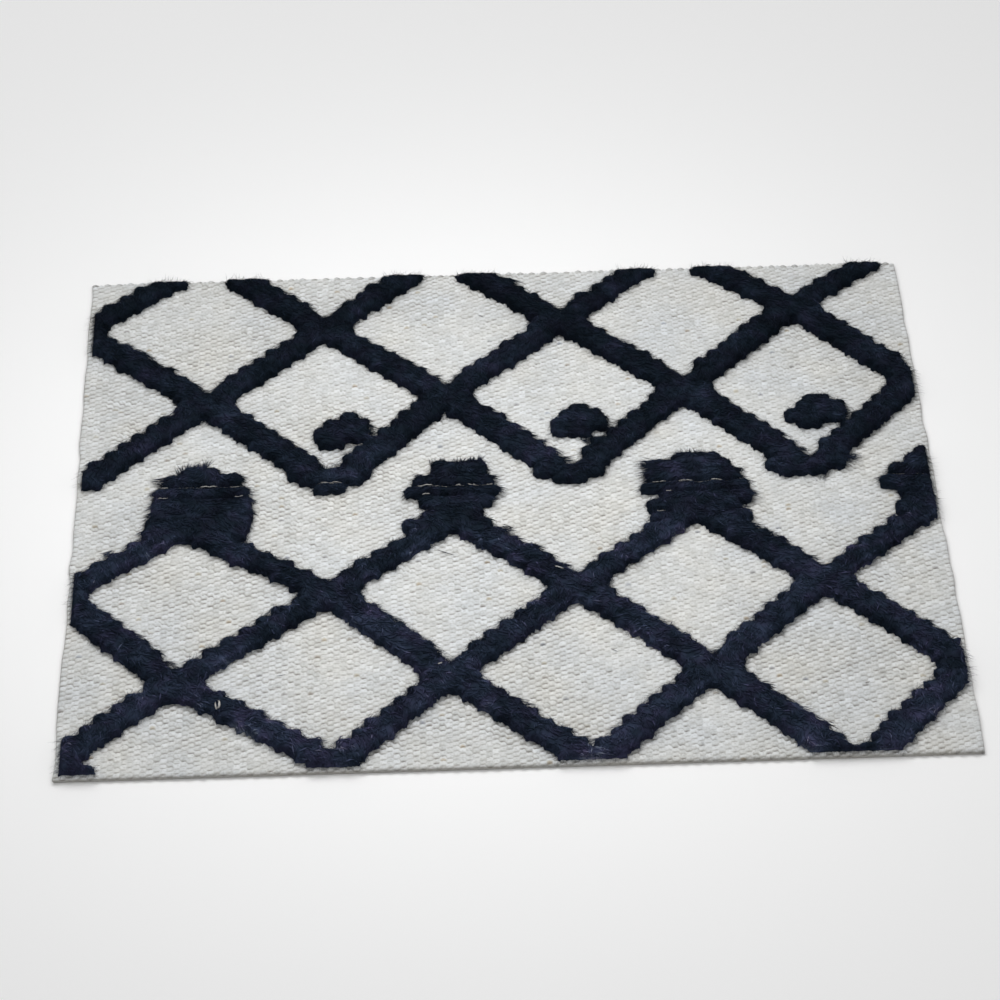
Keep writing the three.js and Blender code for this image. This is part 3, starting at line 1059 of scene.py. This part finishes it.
class Nodes:
    """Short calls for building a material's nodes."""

    def __init__(self, name):
        self.material = bpy.data.materials.new(name)
        self.material.use_nodes = True
        self.tree = self.material.node_tree
        self.shader = self.tree.nodes["Principled BSDF"]

    def add(self, kind, *inputs, **settings):
        node = self.tree.nodes.new("ShaderNode" + kind)
        for key, value in settings.items():
            setattr(node, key, value)
        for socket, value in zip(node.inputs, inputs):
            self.put(socket, value)
        return node

    def put(self, socket, value):
        if isinstance(value, bpy.types.NodeSocket):
            self.tree.links.new(value, socket)
        elif value is not None:
            socket.default_value = value

    def fill(self, node, values):
        for place, value in values.items():
            self.put(node.inputs[place], value)

    def math(self, operation, *inputs):
        return self.add("Math", *inputs, operation=operation).outputs[0]

    def ramp(self, value, stops):
        node = self.add("ValToRGB", value)
        elements = node.color_ramp.elements
        while len(elements) < len(stops):
            elements.new(0.5)
        for element, (place, colour) in zip(elements, stops):
            element.position = place
            element.color = (*colour, 1)
        return node.outputs[0]

    def tint(self, share, colour, by):
        node = self.add("Mix", data_type="RGBA", blend_type="MULTIPLY")
        self.fill(node, {0: share, 6: colour, 7: by})
        return node.outputs[2]

    def rise(self, value, start, end):
        return self.add("MapRange", value, start, end, 0.0, 1.0).outputs[0]

    def noise(self, place, scale, detail):
        return self.add("TexNoise", place, None, scale, detail).outputs["Fac"]

    def stretched(self, place, scale):
        return self.add("Mapping", place, None, None, scale).outputs[0]


# The ground's wool: the heights between which painted shade darkens its hollows, how its floats
# narrow, how soon the painted shade of the dashes between the floats and the flecks fade, the
# colour of the dashes' painted shade, and the scales of what is uneven
HOLLOW_SHADE_HEIGHTS = (2.2, 3.6)
NARROWING = -3.4
GAP_SHADE_COLOUR = (0.56, 0.535, 0.51, 1)
GAP_SHADE_FADE = (0.16, 0.05)
FLECK_FADE = (0.36, 0.2)
GRAIN_SCALE = (620, 1000, 620)
PATCH_SCALE = 22.0
BUMP_SCALE = (900, 2600, 900)
BUMP_STRENGTH = 0.5
BUMP_DEPTH = 0.3


def ground_material():
    n = Nodes("ground_wool")
    place = n.add("TexCoord").outputs["Object"]
    z = n.add("SeparateXYZ", place).outputs[2]
    uv = n.add("UVMap", uv_map=BAKE_MAP).outputs[0]
    u, v, _ = n.add("SeparateXYZ", uv).outputs
    column = n.math("MULTIPLY", u, WARP_COUNT)
    warp = n.math("FLOOR", column)
    across = n.math("SUBTRACT", n.math("FRACT", column), 0.5)
    pick = n.math("MULTIPLY", n.math("SUBTRACT", v, FACE_START), PICK_COUNT / FACE_SHARE)
    turn = n.math("MULTIPLY_ADD", across, -FLOAT_SLANT, n.math("ADD", pick, warp))
    phase = n.math("MULTIPLY", turn, 0.5)

    def chance(a, b):
        cell = n.add("CombineXYZ", a, b, 0.0).outputs[0]
        return n.add("TexWhiteNoise", cell, noise_dimensions="2D").outputs["Value"]

    yarn = n.ramp(chance(warp, n.math("FLOOR", n.math("ADD", phase, 0.5))), [
        (0.0, (0.665, 0.675, 0.67)), (0.35, (0.72, 0.73, 0.725)),
        (0.7, (0.75, 0.76, 0.76)), (1.0, (0.81, 0.825, 0.83)),
    ])
    # Painted shade: the wool is drawn darker the lower it lies in the hollows between the floats
    low = n.rise(z, *(height * MM for height in HOLLOW_SHADE_HEIGHTS))
    shaded = n.tint(1.0, yarn, n.ramp(low, [
        (0.0, (0.52, 0.50, 0.47)), (0.4, (0.80, 0.785, 0.765)),
        (0.7, (0.95, 0.945, 0.94)), (1.0, WHITE),
    ]))
    valley = n.math("FLOOR", phase)
    off = n.math("ABSOLUTE", n.math("SUBTRACT", n.math("FRACT", phase), 0.5))
    middle = n.math("MULTIPLY_ADD", n.math("MULTIPLY", across, across), NARROWING, 1.0)
    # Painted shade: dark dashes in the gaps between floats, narrower at a warp's sides, of random
    # strength
    gap_shade = n.math("MULTIPLY", n.rise(off, *GAP_SHADE_FADE), middle)
    uneven = n.ramp(chance(warp, valley), [(0.0, (0.1, 0.1, 0.1)), (1.0, WHITE)])
    gap_shade = n.math("MULTIPLY", gap_shade, uneven)
    shaded = n.tint(gap_shade, shaded, GAP_SHADE_COLOUR)
    fleck = n.math("MULTIPLY", n.rise(off, *FLECK_FADE), middle)
    shaded = n.tint(fleck, shaded, n.ramp(chance(valley, warp), [
        (0.984, WHITE), (0.988, (0.84, 0.79, 0.68)),
        (0.993, (0.74, 0.62, 0.48)), (0.998, (0.62, 0.66, 0.74)),
    ]))
    grain = n.noise(n.stretched(place, GRAIN_SCALE), 1.0, 1.0)
    shaded = n.tint(1.0, shaded, n.ramp(grain, [
        (0.3, (0.80, 0.795, 0.785)), (0.5, (0.97, 0.97, 0.965)), (0.7, WHITE),
    ]))
    patch = n.noise(place, PATCH_SCALE, 2.0)
    tinted = n.tint(1.0, shaded, n.ramp(patch, [
        (0.3, (0.95, 0.97, 1.0)), (0.7, (1.0, 0.99, 0.965)),
    ]))
    bump = n.add("Bump")
    relief = n.noise(n.stretched(place, BUMP_SCALE), 1.0, 2.0)
    n.fill(bump, {"Strength": BUMP_STRENGTH, "Distance": BUMP_DEPTH * MM, "Height": relief})
    n.fill(n.shader, {
        "Base Color": tinted, "Roughness": 0.95, "Specular IOR Level": 0.2,
        "Sheen Weight": 0.15, "Sheen Roughness": 0.6, "Normal": bump.outputs[0],
    })
    return n.material


HUE_SCALE = 80.0


def pile_material():
    n = Nodes("pile_wool")
    uv = n.add("UVMap", uv_map=BAKE_MAP).outputs[0]
    tone, reach, _ = n.add("SeparateXYZ", uv).outputs
    # The dye by tone, where the tone also carries the painted highlights and the painted shade of the
    # body
    dye_and_painted_light = n.ramp(tone, [
        (0.0, (0.003, 0.005, 0.008)),
        (0.3, (0.007, 0.0115, 0.019)),
        (0.42, (0.011, 0.017, 0.029)),
        (0.56, (0.0215, 0.030, 0.053)),
        (0.7, (0.037, 0.047, 0.086)),
        (0.85, (0.066, 0.077, 0.140)),
        (1.0, (0.17, 0.19, 0.26)),
    ])
    # Painted shade: darker towards the fibres' roots and in the body, deep in the pile
    depth = n.ramp(reach, [(0.0, (0.45, 0.42, 0.42)), (0.6, WHITE)])
    place = n.add("TexCoord").outputs["Object"]
    hue = n.ramp(n.noise(place, HUE_SCALE, 2.0), [(0.42, (0.94, 1.02, 1.0)), (0.68, (1.22, 0.98, 1.1))])
    dyed_and_painted_light = n.tint(1.0, n.tint(1.0, dye_and_painted_light, depth), hue)
    n.fill(n.shader, {"Base Color": dyed_and_painted_light, "Roughness": 0.8, "Specular IOR Level": 0.04})
    return n.material


def plain_material(name, colour, roughness):
    n = Nodes(name)
    n.fill(n.shader, {"Base Color": (*colour, 1), "Roughness": roughness})
    return n.material


def add_camera():
    data = bpy.data.cameras.new("camera")
    data.lens, data.sensor_width = LENS, SENSOR
    data.clip_start, data.clip_end = 0.05, 50
    camera = add_object("camera", data)
    turn = Matrix.Identity(4)
    for angle, axis in ((CAMERA_YAW, "Z"), (90 - CAMERA_DOWN, "X"), (CAMERA_ROLL, "Z")):
        turn = turn @ Matrix.Rotation(math.radians(angle), 4, axis)
    camera.matrix_world = Matrix.Translation(Vector(CAMERA_PLACE) * MM) @ turn
    bpy.context.scene.camera = camera


# The white floor and the studio round it, in metres
FLOOR_REACH = 12.0
WORLD_STRENGTH = 0.36
LIGHTS = [
    # name, place, size, power
    ("key", (-0.7, 1.6, 3.0), 2.4, 42),
    ("fill", (1.2, -2.4, 2.6), 2.6, 22),
    ("middle", (-0.04, 0.02, 0.42), 0.35, 0.85),
]


def add_floor():
    size = FLOOR_REACH
    mesh = bpy.data.meshes.new("floor")
    corners = [(-size, -size, 0), (size, -size, 0), (size, size, 0), (-size, size, 0)]
    mesh.from_pydata(corners, [], [(0, 1, 2, 3)])
    mesh.materials.append(plain_material("floor", (0.96, 0.96, 0.96), 0.9))
    add_object("floor", mesh)


def add_light():
    for name, place, size, power in LIGHTS:
        data = bpy.data.lights.new(name, "AREA")
        data.shape, data.size, data.energy = "DISK", size, power
        light = add_object(name, data)
        light.location = place
        light.rotation_euler = (-Vector(place)).to_track_quat("-Z", "Y").to_euler()
        light.visible_camera = False
    world = bpy.data.worlds.new("studio")
    world.use_nodes = True
    background = world.node_tree.nodes["Background"]
    background.inputs["Color"].default_value = (*WHITE, 1)
    background.inputs["Strength"].default_value = WORLD_STRENGTH
    bpy.context.scene.world = world
    bpy.context.scene.view_settings.view_transform = "Standard"


add_camera()
add_floor()
add_light()

ground = build_ground(ground_material())
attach(ground, "root")
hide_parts("rug")

nap = build_nap()
pile = build_pile(nap, pile_material())
for piece in pile:
    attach(piece, "root")

threads = build_threads(nap, plain_material("slit_wool", (0.5, 0.49, 0.47), 0.95))
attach(threads, "root")
